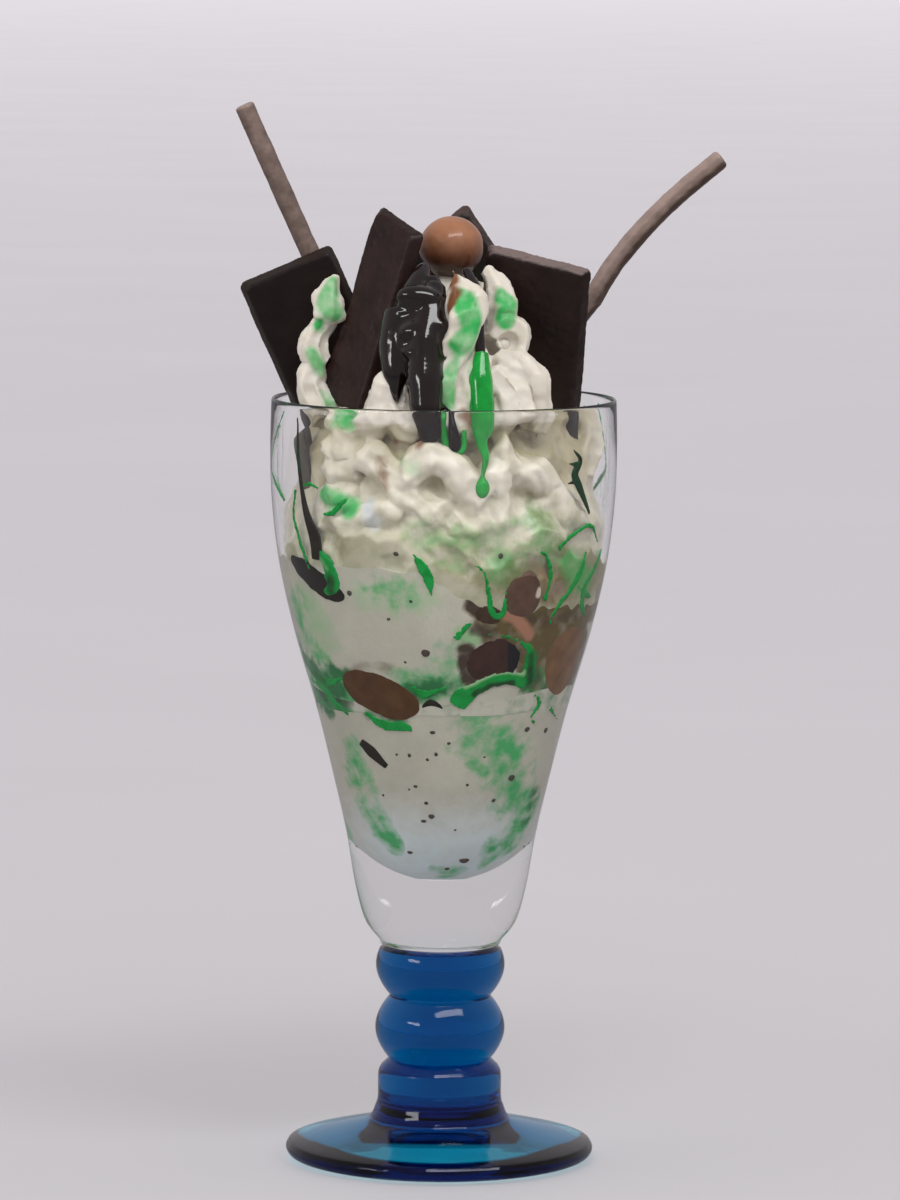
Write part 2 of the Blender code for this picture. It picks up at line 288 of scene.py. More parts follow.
def group(name, inputs, outputs):
    # inputs are (label, kind, value), outputs (label, kind)
    tree = bpy.data.node_groups.new(name, "ShaderNodeTree")
    for label, kind, value in inputs:
        socket = tree.interface.new_socket(name=label, in_out="INPUT", socket_type="NodeSocket" + kind)
        if value is not None:
            socket.default_value = value
    for label, kind in outputs:
        tree.interface.new_socket(name=label, in_out="OUTPUT", socket_type="NodeSocket" + kind)
    return tree, tree.nodes.new("NodeGroupInput").outputs, tree.nodes.new("NodeGroupOutput")


def placeGroup(tree, groupTree, **values):
    return addNode(tree, "Group", values, node_tree=groupTree)


def mixColour(tree, share, under, over, blend="MIX"):
    mix = addNode(tree, "Mix", {"Factor": share, "A": under, "B": over}, data_type="RGBA", blend_type=blend)
    return mix.outputs["Result"]


def makeMottle():
    # soft patches of two tones over the piece
    tree, start, end = group("mottle", [("Dark", "Color", None), ("Light", "Color", None),
                                        ("Scale", "Float", 60.0), ("Spread", "Float", 0.25)],
                             [("Color", "Color"), ("Value", "Float")])
    where = addNode(tree, "TexCoord").outputs["Object"]
    noise = addNode(tree, "TexNoise",
                    {"Vector": where, "Scale": start["Scale"], "Detail": 6, "Roughness": 0.6})
    low = addNode(tree, "Math", {0: 0.5, 1: start["Spread"]}, operation="SUBTRACT").outputs[0]
    high = addNode(tree, "Math", {0: 0.5, 1: start["Spread"]}, operation="ADD").outputs[0]
    spread = addNode(tree, "MapRange", {"Value": noise.outputs["Fac"], "From Min": low, "From Max": high})
    value = spread.outputs["Result"]
    feed(tree, end, {"Color": mixColour(tree, value, start["Dark"], start["Light"]), "Value": value})
    return tree


def makeGrain():
    # fine bumps: a coarse and a fine noise added up
    tree, start, end = group("grain", [("Coarse", "Float", 200.0), ("Fine", "Float", 900.0),
                                       ("FineShare", "Float", 0.5)], [("Height", "Float")])
    where = addNode(tree, "TexCoord").outputs["Object"]
    coarse, fine = [addNode(tree, "TexNoise",
                            {"Vector": where, "Scale": start[label], "Detail": 3}).outputs["Fac"]
                    for label in ("Coarse", "Fine")]
    total = addNode(tree, "Math", {0: fine, 1: start["FineShare"], 2: coarse}, operation="MULTIPLY_ADD")
    feed(tree, end, {"Height": total.outputs[0]})
    return tree


def makeStain():
    # how much of a stain shows: a painted amount broken up by noise
    tree, start, end = group("stain", [("Amount", "Float", 0.0), ("Scale", "Float", 250.0),
                                       ("Ragged", "Float", 0.5)], [("Mask", "Float")])
    where = addNode(tree, "TexCoord").outputs["Object"]
    noise = addNode(tree, "TexNoise", {"Vector": where, "Scale": start["Scale"], "Detail": 4})
    centred = addNode(tree, "Math", {0: noise.outputs["Fac"], 1: 0.5}, operation="SUBTRACT").outputs[0]
    waver = addNode(tree, "Math", {0: centred, 1: start["Ragged"], 2: start["Amount"]},
                    operation="MULTIPLY_ADD")
    there = addNode(tree, "MapRange", {"Value": start["Amount"], "From Max": 0.08})
    shown = addNode(tree, "Math", {0: waver.outputs[0], 1: there.outputs["Result"]},
                    operation="MULTIPLY", use_clamp=True)
    feed(tree, end, {"Mask": shown.outputs[0]})
    return tree


mottle = makeMottle()
grain = makeGrain()
stain = makeStain()


def rgb(*screen):
    # a colour as seen on a screen, from 0 to 255, as the shader wants it
    linear = [c / 255 / 12.92 if c <= 10 else ((c / 255 + 0.055) / 1.055) ** 2.4 for c in screen]
    return (*linear, 1)


def bumped(tree, shader, strength, distance, **scales):
    height = placeGroup(tree, grain, **scales).outputs["Height"]
    bump = addNode(tree, "Bump", {"Strength": strength, "Distance": distance * mm, "Height": height})
    feed(tree, shader, {"Normal": bump.outputs["Normal"]})


def foodMaterial(name, dark, light, roughness, scale=60.0, bump=(0.3, 0.3), grainScales=(200.0, 900.0),
                 soft=0.0, softRadius=(3, 2, 1.2), coat=0.0, specular=0.5, stains=()):
    # two mottled tones under painted stains, some of them painted shade and painted highlights; each stain is
    # (attribute, colour, raggedness)
    material, tree, shader = newMaterial(name)
    base = placeGroup(tree, mottle, Dark=rgb(*dark), Light=rgb(*light), Scale=scale)
    colour = base.outputs["Color"]
    for attributeName, stainColour, ragged in stains:
        painted = addNode(tree, "Attribute", attribute_name=attributeName)
        mask = placeGroup(tree, stain, Amount=painted.outputs["Fac"], Ragged=ragged)
        colour = mixColour(tree, mask.outputs["Mask"], colour, rgb(*stainColour))
    gloss = addNode(tree, "MapRange", {"Value": base.outputs["Value"], "To Min": max(0, roughness - 0.06),
                                       "To Max": min(1, roughness + 0.06)})
    feed(tree, shader, {"Base Color": colour, "Roughness": gloss.outputs["Result"],
                        "Specular IOR Level": specular, "Subsurface Weight": soft,
                        "Subsurface Radius": softRadius, "Subsurface Scale": mm,
                        "Coat Weight": coat, "Coat Roughness": 0.08})
    bumped(tree, shader, bump[0], bump[1], Coarse=grainScales[0], Fine=grainScales[1])
    return material


print("stage: glass")


def glassMaterial(name, shine, tint=None, density=0.0):
    material, tree, shader = newMaterial(name)
    smudge = placeGroup(tree, mottle, Scale=35.0).outputs["Value"]
    gloss = addNode(tree, "MapRange", {"Value": smudge, "To Max": 0.012})
    feed(tree, shader, {"Base Color": (1, 1, 1, 1), "Transmission Weight": 1.0, "IOR": 1.46,
                        "Specular Tint": (shine, shine, shine, 1), "Roughness": gloss.outputs["Result"]})
    bumped(tree, shader, 0.02, 1.0, Coarse=40.0, Fine=120.0, FineShare=0.2)
    if tint:
        inside = addNode(tree, "VolumeAbsorption", {"Color": tint, "Density": density})
        feed(tree, tree.nodes["Material Output"], {"Volume": inside.outputs["Volume"]})
    return material


def makeBowl():
    lip = (outsideLine[-1][1] - insideLine[-1][1]) / 2
    outline = [(15.0, bowlBase), (16.0, bowlBase + 0.4)] + [(r, z) for z, r in outsideLine]
    outerLip, innerLip = outline[-1], (insideLine[-1][1], insideLine[-1][0])
    middle = (outerLip[0] + innerLip[0]) / 2
    for step in range(1, 8):
        angle = math.pi * step / 8
        outline.append((middle + lip * math.cos(angle), rimTop - lipHeight + lipHeight * math.sin(angle)))
    outline += [(r, z) for z, r in reversed(insideLine)]
    outline += [(2.0, bowl["floor"] + 0.15), (0.4, bowl["floor"])]
    piece = turned("glassBowl", outline, bowl["sides"])
    piece.visible_shadow = False
    return finished(piece, glassMaterial("clearGlass", 0.85), ["glass_bowl"])


stem = {
    "sides": 128,
    "neck": 13.3,
    # the hollow under the foot, then from its edge to its rise, as (radius, height)
    "hollow": [(0.4, 4.6), (8, 4.4), (14, 3.9), (19.6, 3.1), (25, 2.1), (31, 0.9), (34.5, 0.25), (36.8, 0.0)],
    "foot": [(38.1, 0.0), (40.4, 0.8), (footRadius, 2.4), (40.8, 3.8), (39.6, 4.6), (33, 6.3), (25, 8.3),
             (19.6, 9.9), (18.2, 11.4)],
    "collar": [(17.3, 13.6), (16.6, 16.2), (16.5, 22.6), (15.7, 24.7)],
    "beads": [(26.4, 43.8, 17.4), (43.8, 60.6, 17.3)],  # each bead's lower and upper height and crest
    "top": stemHigh.z / mm,
}


def makeStem():
    foot = through(stem["foot"] + stem["collar"], 70)
    outline = stem["hollow"] + [(r, max(z, 0)) for r, z in foot]
    for low, high, crest in stem["beads"]:
        for t in np.linspace(-0.97, 0.97, 22):
            z = (low + high) / 2 + t * (high - low) / 2
            if z < stem["top"] - 0.3:
                outline.append((stem["neck"] + (crest - stem["neck"]) * math.cos(t * math.pi / 2) ** 0.85, z))
    outline.append((14.6, stem["top"]))
    piece = turned("glassStem", outline, stem["sides"])
    piece.visible_shadow = False
    blue = glassMaterial("blueGlass", 0.55, (0.0, 0.868, 0.938, 1), 560.0)
    return finished(piece, blue, ["glass_stem"])


makeBowl()
makeStem()

print("stage: fillings")

filling = {
    "sides": 320,
    "step": 0.7,  # between rings up the wall
    "intoWall": 0.22,
    "lowerTop": 125.0,
    "scoopTop": 157.0,
    "syrupDepth": 3.6,
    # what the ice cream is stained with: (paint, colour, raggedness)
    "stains": [("cool", (214, 226, 228), 0.6), ("melt", (92, 76, 28), 1.2), ("pale", (150, 190, 140), 1.5),
               ("mint", (66, 168, 98), 2.6), ("cocoa", (58, 38, 18), 1.4), ("deep", (10, 108, 50), 3.0),
               ("salmon", (168, 118, 92), 0.6)],
}


def lowerTop(x, y):
    return (filling["lowerTop"] + np.cos(np.hypot(x, y) / 12) + 0.6 * np.sin(x / 6) * np.cos(y / 7))


def syrupTop(x, y):
    edge = np.minimum(1, np.hypot(x, y) / 32)
    return lowerTop(x, y) + filling["syrupDepth"] + 1.7 * edge ** 2 * np.cos(2 * np.arctan2(y, x) + 0.7)


def scoopTop(x, y):
    # it stands higher on one side, with a ragged edge
    ragged = np.sin(x / 7 + 1) * np.cos(y / 8) + 0.9 * np.sin(x / 1.9 + y) * np.sin(x / 3.1)
    return filling["scoopTop"] - 6.0 * np.tanh((x - 2) / 9) + ragged


def layered(name, low, high, extra=0.0):
    # a filling between two uneven levels, pressed against the glass
    bottom, top = low[0], high[0]
    rings = int((top - bottom) / filling["step"])
    levels = np.linspace(0, 1, rings)
    outline = [(2.0, bottom), (float(wallIn(bottom)) * 0.5, bottom)]
    outline += [(float(wallIn(bottom + t * (top - bottom))), bottom + t * (top - bottom)) for t in levels]
    outline += [(outline[-1][0] * share, top) for share in np.linspace(0.95, 0.04, 18)]
    piece = turned(name, outline, filling["sides"])
    co = points(piece)
    share = np.clip((co[:, 2] - bottom) / (top - bottom), 0, 1)
    x, y = co[:, 0].copy(), co[:, 1].copy()
    for _ in range(2):
        z = low[1](x, y) * (1 - share) + high[1](x, y) * share
        radius = np.hypot(x, y)
        outer = np.hypot(co[:, 0], co[:, 1]) > wallIn(co[:, 2]) * 0.999
        wanted = np.where(outer, wallIn(z) + filling["intoWall"] + extra, radius)
        x, y = x * wanted / np.maximum(radius, 1e-6), y * wanted / np.maximum(radius, 1e-6)
    movePoints(piece, np.stack([x, y, z], 1))
    return piece


def strokes(piece, lines, everyHalfTurn=True):
    # paint laid on the food's side: each line is (points as (x, height), half width, softness, strength)
    co = points(piece)
    angle = np.arctan2(co[:, 0], -co[:, 1])
    total = np.zeros(len(co))
    turns = (0.0, math.pi) if everyHalfTurn else (0.0,)
    for line, width, softness, strength in lines:
        ends = [(math.asin(max(-1, min(1, x / float(wallOut(z))))), z) for x, z in line]
        if len(ends) == 1:
            ends = ends * 2
        for turn in turns:
            away = np.full(len(co), 1e9)
            for (a0, z0), (a1, z1) in zip(ends, ends[1:]):
                girth = wallIn((z0 + z1) / 2)
                u = ((angle - turn - a0 + math.pi) % math.tau - math.pi) * girth
                du, dz = (a1 - a0) * girth, z1 - z0
                length = du * du + dz * dz
                t = np.clip((u * du + (co[:, 2] - z0) * dz) / length, 0, 1) if length > 1e-9 else 0.0
                away = np.minimum(away, np.hypot(u - t * du, co[:, 2] - z0 - t * dz))
            there = np.clip((width + softness - away) / max(softness, 1e-3), 0, 1)
            total = np.maximum(total, strength * there)
    return total


def stained(piece, stains, everyHalfTurn=True):
    for name, lines in stains.items():
        paint(piece, name, strokes(piece, lines, everyHalfTurn))


lowerStains = {
    "mint": [
        ([(10, 118), (16, 113), (20, 106), (21, 102)], 2.5, 7, 0.55),
        ([(9.5, 110), (12, 107.5)], 0.8, 2.5, 0.9), ([(17, 117), (21, 112)], 1.2, 3.5, 0.9),
        ([(21, 101), (25, 96), (24, 90), (20, 86)], 1.6, 4.5, 0.85),
        ([(-25, 114), (-22, 105)], 0.9, 2.5, 0.8), ([(-24, 106), (-20, 93)], 1.2, 5, 0.45),
        ([(-21, 95), (-17, 88)], 1.2, 3, 0.9), ([(0, 80), (9, 79)], 0.6, 2, 0.5),
    ],
    "cool": [([(-14, 84), (0, 81), (14, 84)], 5, 14, 0.8)],
    "deep": [
        ([(26.5, 100), (25.5, 94)], 0.8, 2.2, 0.6), ([(-36, 124), (-30, 122)], 0.6, 2.4, 0.8),
        ([(-20, 123), (-9, 122)], 0.4, 1.6, 0.6),
    ],
}
scoopStains = {
    "mint": [
        ([(-37, 134), (-31, 131), (-26, 130)], 1.6, 3, 0.95), ([(-39, 150), (-37, 138)], 1.5, 6, 0.5),
        ([(-10, 132.5), (-3, 131), (3, 132)], 1, 4.5, 0.85), ([(-2, 133), (3, 141)], 0.6, 5, 0.4),
        ([(-36, 131), (-25, 127), (-8, 129), (2, 129)], 0.6, 1.6, 0.9), ([(-38, 144), (-33, 138)], 1, 5, 0.5),
        ([(-17, 159), (-11, 157)], 1, 5, 0.4), ([(28, 134), (30, 124)], 2, 3, 0.6),
    ],
    "deep": [
        ([(-37, 136), (-33, 132), (-28, 129)], 1.6, 2.6, 1), ([(-30, 134), (-26, 133)], 0.8, 2.4, 0.9),
        ([(-8, 130.5), (-3, 130.5), (2, 131)], 1, 2.6, 1), ([(24, 138), (23, 131)], 1.2, 2, 0.8),
    ],
    "melt": [
        ([(11, 154), (20, 150), (30, 151), (38, 152)], 3.8, 1, 1),
        ([(27, 146), (27, 138), (26, 131)], 3, 1, 1), ([(12, 149), (17, 148.5)], 3, 1, 1),
        ([(20.5, 143), (22.5, 133)], 1.8, 1, 1), ([(12, 146), (22, 145), (24, 133)], 2.4, 1.2, 0.9),
        ([(30, 149.5), (41, 149)], 2.6, 1, 1), ([(34, 146), (36, 138), (33.5, 130)], 7, 1, 1),
        ([(-28, 133), (-20, 136.5), (-14, 136)], 0.4, 1.4, 0.35),
    ],
    "cocoa": [
        ([(8, 153.5), (13, 152)], 1.8, 1, 1), ([(24, 149), (36, 149)], 0.5, 2, 0.5),
        ([(6.5, 141), (7.5, 134)], 2, 1, 1), ([(9, 147), (13, 146)], 1.2, 1.2, 0.8),
        ([(25, 134), (27, 130)], 1, 1.6, 0.7),
    ],
    "salmon": [([(15, 151.5), (19.5, 150), (23.5, 145)], 1.2, 0.8, 1)],
    "pale": [
        ([(5, 146), (8.5, 144.5)], 1.4, 1.2, 1), ([(28, 130), (30, 122)], 2.4, 2, 1),
        ([(-36, 150), (-33, 142)], 3, 6, 0.6), ([(-20, 155), (-6, 156)], 2, 5, 0.4),
    ],
}
syrupStains = {
    "pale": [
        ([(-24, 126), (-20, 127)], 2, 2, 1), ([(-12, 127), (1, 127)], 4, 2, 1),
        ([(8, 126), (22, 127)], 3, 2.5, 1), ([(27, 127), (40, 126)], 3, 2.5, 0.85),
    ],
    "dark": [([(-34, 129), (-26, 126)], 1, 2, 0.9)],
}


def makeFillings():
    iceCream = foodMaterial("vanillaIceCream", (179, 176, 161), (198, 195, 180), 0.55, scale=90,
                            bump=(0.5, 0.35), grainScales=(260, 1100), soft=0.25, stains=filling["stains"])
    lower = layered("iceCreamLower", (bowl["floor"] + 0.6, lambda x, y: bowl["floor"] + 0.6 + 0 * x),
                    (filling["lowerTop"], lowerTop))
    stained(lower, lowerStains)
    finished(lower, iceCream, ["ice_cream_lower"])
    syrup = layered("mintSyrupLayer", (filling["lowerTop"], lambda x, y: lowerTop(x, y) - 0.6),
                    (filling["lowerTop"] + filling["syrupDepth"], syrupTop), extra=0.05)
    stained(syrup, syrupStains)
    syrupGreen = foodMaterial("mintSyrup", (12, 104, 46), (46, 146, 74), 0.3, scale=220, bump=(0.2, 0.3),
                              soft=0.2, stains=[("pale", (198, 195, 181), 2.0), ("dark", (18, 62, 30), 1.5)])
    finished(syrup, syrupGreen, ["mint_syrup_layer"])
    scoop = layered("iceCreamScoop",
                    (filling["lowerTop"] + filling["syrupDepth"], lambda x, y: syrupTop(x, y) - 0.6),
                    (filling["scoopTop"], scoopTop))
    stained(scoop, scoopStains)
    finished(scoop, iceCream, ["ice_cream_scoop"])


makeFillings()

print("stage: whipped cream")

cream = {
    "voxel": 0.7,
    "smoothing": 3,
    "bottom": 148.0,
    "belowSyrup": 0.07,  # how much less it reaches into the wall than what lies on it
    # folds, torn ridges and crumple: (size, strength, kind, detail)
    "rough": [(9, 1.4, "CLOUDS", 2), (10, 4.2, "VORONOI", 0), (3.4, 0.9, "CLOUDS", 1)],
    # the swirl's turns behind and at the sides: (radius, height, rope radius, from and to angle)
    "turns": [(29, 197, 8.0, -112, 118), (25, 208, 7.6, -100, 96), (18, 219, 6.8, -95, 95),
              (10, 228, 5.8, -120, 120)],
    # painted shade in the creases comes first, then the cream's stains: (paint, colour, raggedness)
    "stains": [("crease", (146, 136, 92), 0.6), ("low", (168, 166, 136), 1.4),
               ("khaki", (140, 134, 102), 1.6), ("cool", (190, 198, 204), 0.6),
               ("mint", (50, 168, 82), 1.2), ("cocoa", (112, 66, 24), 1.0)],
    # (height, radius) of the mass inside the ropes
    "core": [(150, 40.8), (157, 42.2), (163, 42.4), (170, 41.8), (177, 40.6), (184, 38), (192, 35.5),
             (200, 31.5), (207, 27.5), (214, 23.5), (221, 19), (228, 13), (234, 6)],
}
# ropes pressed to the glass: (points as (x, height), how far in from the wall, radii, ridges)
wallRopes = [
    ([(-37, 201), (-31, 197), (-24, 199.5), (-18, 203)], 9, (3.5, 4.6, 4.4, 3.6), 7),
    ([(-44.2, 171), (-43, 165), (-41, 160)], 4.6, (2.4, 4.4, 4.2), 0),
    ([(44.2, 170), (43, 164), (41.5, 158)], 4.6, (2.4, 4.4, 4.2), 0),
    ([(-34, 163), (-24, 165), (-12, 164), (-4, 162)], 4.6, (4, 5, 5, 4), 0),
    ([(-20, 203), (-12, 199), (-4, 202), (3, 199)], 12, (4.6, 5.4, 5.2, 4.6), 8),
    ([(2, 203), (9, 199), (16, 201), (22.5, 198)], 11, (4.8, 5.6, 5.2, 4.2), 8),
    ([(-26, 193), (-20, 190), (-13.5, 184), (-9, 187), (-5, 191), (3, 190), (7, 183), (9.5, 179.5),
      (13.5, 184), (17, 190)], 6.5, (3.6, 4.6, 4.4, 4.8, 4.6, 4.8, 4.4, 4.2, 4.4, 3.6), 7),
    ([(16, 187), (17.5, 180), (18, 173)], 5, (3.4, 4.2, 3.2), 6),
    ([(16, 195), (23, 189.5), (31, 185.5)], 8, (4.4, 5.2, 4), 7),
    ([(22, 188), (29, 186), (34.5, 180.5)], 7, (4.8, 5.6, 4), 7),
    ([(31, 182), (36, 177), (40.5, 171)], 5.5, (4, 6, 4.4), 7),
    ([(-36, 194), (-32, 192.5), (-27, 193)], 8, (3.2, 3.8, 3.2), 6),
    ([(-36.5, 188), (-32, 187), (-26, 188)], 7, (3.2, 3.8, 3.2), 6),
    ([(-37, 182.5), (-32, 181), (-26, 182)], 7, (3.2, 4, 3.4), 6),
    ([(-38, 175), (-29, 174), (-20, 177), (-12, 176)], 5.5, (4.2, 5.2, 5.2, 4.4), 7),
    ([(-40, 167), (-30, 167), (-19, 169), (-8, 167)], 4.5, (4.4, 5.2, 5.4, 4.4), 0),
    ([(-14, 182), (-6, 180), (1, 176), (8, 172), (13, 175)], 5.5, (3.6, 4.8, 4.8, 4.4, 3.6), 7),
    ([(-6, 170), (2, 168), (10, 165), (17, 163)], 4.5, (4, 5, 4.8, 4), 6),
    ([(0, 161), (6, 157), (12, 156)], 3.8, (3.6, 4.4, 3.4), 0),
    ([(19, 168), (27, 169), (36, 165), (41, 163)], 4.8, (4, 5.2, 4.8, 3.6), 6),
    ([(22, 177), (27, 173), (33, 171)], 6, (3.6, 4.6, 3.6), 6),
    ([(-38, 159), (-26, 160), (-14, 162)], 4.2, (4.2, 4.8, 4), 0),
]
# ropes of the heap: (points, radii, ridges, twist)
heapRopes = [
    ([(1.5, -36, 204), (1.2, -35, 213), (2.6, -33, 219), (5, -31, 226), (4.4, -29, 233.5), (1.8, -27, 241)],
     (2.4, 3, 4.8, 7.6, 5.2, 0.5), 4, 1),
    ([(11, -23, 222), (14.2, -19.5, 228.5), (13, -17.5, 235), (9.8, -16, 239.8)], (2.4, 4.4, 4.4, 2.2), 6,
     0.8),
    ([(12, -24, 221.5), (16, -22, 224.5), (20, -21, 222.5), (19, -22, 218)], (2.8, 3.6, 3, 2.4), 5, 0.5),
    ([(13, -25, 218), (18.5, -25, 215.5), (22.5, -25, 210), (24, -25, 203), (23, -26, 197)],
     (3.6, 5, 5.4, 5, 4.4), 6, 1),
    ([(12, -30, 213), (17, -31, 208), (20, -32, 201)], (3.6, 5, 4.6), 6, 0.6),
    ([(7, -27, 219), (7, -30, 212), (8, -33, 205), (9, -34, 199)], (4.4, 5.2, 5.4, 5), 0, 0),
    ([(36.5, -4, 184), (38.6, 0, 191), (38, 3, 199.5)], (4, 5.4, 3), 5, 0.4),
    ([(-28.4, -8, 237.5), (-31, -9.5, 231), (-30, -9, 226)], (0.8, 4, 3.4), 6, 0.6),
    ([(-31.5, -8, 226), (-34, -10, 219), (-31.5, -10, 214)], (2.6, 4.4, 3.4), 6, 0.6),
    ([(-33, -9, 214), (-35.6, -11, 208.5), (-33, -12, 203), (-31, -13, 198)], (2.8, 4.2, 4.4, 4.6), 6, 0.6),
    ([(-15.6, -29, 200), (-15.8, -30.5, 207), (-16.2, -30.5, 214.4)], (5.2, 3.8, 0.5), 5, 0.4),
    ([(-9.4, -30, 201), (-9.8, -31.5, 207), (-10.4, -31.5, 212.4)], (3.6, 2.4, 0.4), 5, 0.4),
]


def starRopes():
    made = []
    for line, depth, radii, ridges in wallRopes:
        for turn in (0.0, math.pi):
            route = []
            for x, height in line:
                spot = onWall(x, height, depth)
                route.append((spot.x * math.cos(turn), spot.y * math.cos(turn),
                              height - (2.0 if turn else 0)))
            made.append(rope(route, radii, ridges, 0.15, twist=2.0))
    for line, radii, ridges, twist in heapRopes:
        made.append(rope(line, radii, ridges, 0.24, twist))
    for radius, height, size, start, end in cream["turns"]:
        turn = [math.radians(a) for a in np.linspace(start, end, 9)]
        coil = [(radius * math.sin(a), radius * math.cos(a), height + 1.6 * math.sin(2 * a)) for a in turn]
        made.append(rope(coil, (size * 0.7, size, size * 1.05, size, size * 0.7), 8, 0.26, twist=4.0))
    return made


def pressed(piece, into):
    # cream past the glass is flattened against it
    co = points(piece)
    radius = np.hypot(co[:, 0], co[:, 1])
    inGlass = co[:, 2] < rimTop - 1.0
    most = wallIn(np.clip(co[:, 2], bowl["floor"], rimTop)) + into
    squeeze = np.where(inGlass & (radius > most - 0.25), most / np.maximum(radius, 1e-6), 1.0)
    co[:, 0] *= squeeze
    co[:, 1] *= squeeze
    movePoints(piece, co)
    return piece


def spots3d(piece, lines):
    # paint laid through the air onto a piece: each line is (points, reach, softness, strength)
    co = points(piece)
    total = np.zeros(len(co))
    for line, width, softness, strength in lines:
        ends = [np.array(p, float) for p in line]
        ends = ends * 2 if len(ends) == 1 else ends
        away = np.full(len(co), 1e9)
        for a, b in zip(ends, ends[1:]):
            along = b - a
            length = float(along @ along)
            t = np.clip((co - a) @ along / length, 0, 1)[:, None] if length > 1e-9 else 0.0
            away = np.minimum(away, np.linalg.norm(co - a - t * along, axis=1))
        total = np.maximum(total, strength * np.clip((width + softness - away) / softness, 0, 1))
    return total


creamStains = {
    "mint": [
        ([(-34, 200.5), (-29, 199.5)], 1, 2, 0.8), ([(-34, 181), (-28, 179), (-26, 178)], 1.8, 1.6, 0.95),
        ([(-4, 171), (8, 168), (20, 170)], 2, 6, 0.2), ([(26, 176), (29, 168)], 2, 4, 0.45),
        ([(34, 163), (38, 158)], 2.5, 3, 0.7), ([(-17, 160), (-12, 156)], 1, 3, 0.5),
        ([(16, 163), (22, 158), (20, 152)], 2, 4, 0.55), ([(-12, 191), (-8, 189)], 0.6, 2, 0.3),
    ],
    "khaki": [
        ([(28, 163), (42, 160), (42, 154)], 3.5, 3, 0.9), ([(14, 160), (30, 157), (38, 156)], 3, 3, 0.8),
        ([(-31, 172), (-27, 168)], 1, 3, 0.6), ([(0, 171), (8, 166), (12, 161)], 2, 5, 0.6),
    ],
    "cocoa": [
        ([(-16.5, 195)], 0.6, 1, 0.8), ([(-7, 195.5)], 0.7, 1.2, 0.8),
        ([(-18.5, 191), (-16.5, 184)], 0.3, 1.6, 0.5), ([(26, 179), (31, 168)], 1, 3, 0.3),
        ([(6, 203), (9, 201)], 1, 1.4, 0.8), ([(20, 160), (30, 158)], 2.5, 4, 0.5),
    ],
    "cool": [([(-21, 179), (-19, 175)], 1, 2, 0.7)],
}
heapStains = {
    "mint": [
        ([(4.6, -35, 233.5), (6.8, -37, 229), (7.6, -38, 224.5), (3.5, -38, 220.5)], 2.7, 1.2, 0.9),
        ([(2.5, -37, 218), (1.2, -38, 213), (1.2, -39, 206)], 1.6, 1, 0.75),
        ([(14, -24, 235), (17, -23, 231), (16, -24, 227)], 2.2, 1.2, 0.9),
        ([(-29, -12, 236), (-31.5, -13, 231), (-29.5, -13, 228)], 2.4, 1.2, 0.75),
        ([(-33, -13, 224.5), (-30.5, -14, 221)], 1.4, 1, 1),
        ([(-35, -14, 217), (-31, -14, 211)], 1.4, 1.4, 0.7),
        ([(-31, -15, 207), (-29, -16, 203)], 1.2, 1.4, 0.7), ([(10, -37, 219), (10, -39, 203)], 3, 1.6, 0.5),
    ],
    "cocoa": [
        ([(1.6, -28.5, 239), (3.4, -32, 234.5), (1.4, -33, 230)], 1.3, 0.8, 1),
        ([(-33, -15, 209), (-29, -16, 214)], 0.4, 1, 0.6),
    ],
}


def makeCream():
    outline = [(r, z) for z, r in through(cream["core"], 26)]
    outline = [(10.0, cream["bottom"])] + outline + [(1.0, 238.0)]
    core = turned("whippedCream", outline, 96)
    body = joined([core] + starRopes(), "whippedCream")
    remeshed(body, cream["voxel"], cream["smoothing"])
    for size, strength, kind, detail in cream["rough"]:
        roughened(body, size, strength, kind, detail)
    pressed(body, filling["intoWall"] - cream["belowSyrup"])
    co = points(body)
    radius = np.hypot(co[:, 0], co[:, 1])
    inset = wallIn(np.clip(co[:, 2], bowl["floor"], rimTop)) - radius
    # painted shade: the hollows are painted deeper in colour, and the foot of it yellower where it meets the
    # ice cream
    paint(body, "crease", np.where(co[:, 2] < 200, np.clip((inset - 1.0) / 7, 0, 1) * 0.7, 0.0))
    paint(body, "low", np.clip((184 - co[:, 2]) / 18, 0, 0.8) * np.clip((6 - inset) / 5, 0.2, 1))
    for name, lines in creamStains.items():
        total = strokes(body, lines) * (co[:, 2] < 206)
        if name in heapStains:
            total = np.maximum(total, spots3d(body, heapStains[name]))
        paint(body, name, total)
    skin = foodMaterial("whippedCream", (198, 192, 175), (218, 212, 200), 0.42, scale=110, bump=(0.25, 0.2),
                        grainScales=(300, 1500), soft=0.3, softRadius=(3.5, 2.6, 1.6),
                        stains=cream["stains"])
    finished(body, skin, ["whipped_cream"], angle=180)
    print("  cream faces", len(body.data.polygons))


makeCream()

print("stage: sauce and syrup")

sauces = {
    "voxel": 0.42,
    "smoothing": (16, 0.8),
    "folds": (9, 0.8),  # size and strength
    "wetAbove": 203,
    "dripVoxel": 0.35,
    "lastDrop": ((10, -40.9, 184.2), (2, 1.6, 2.7)),
}
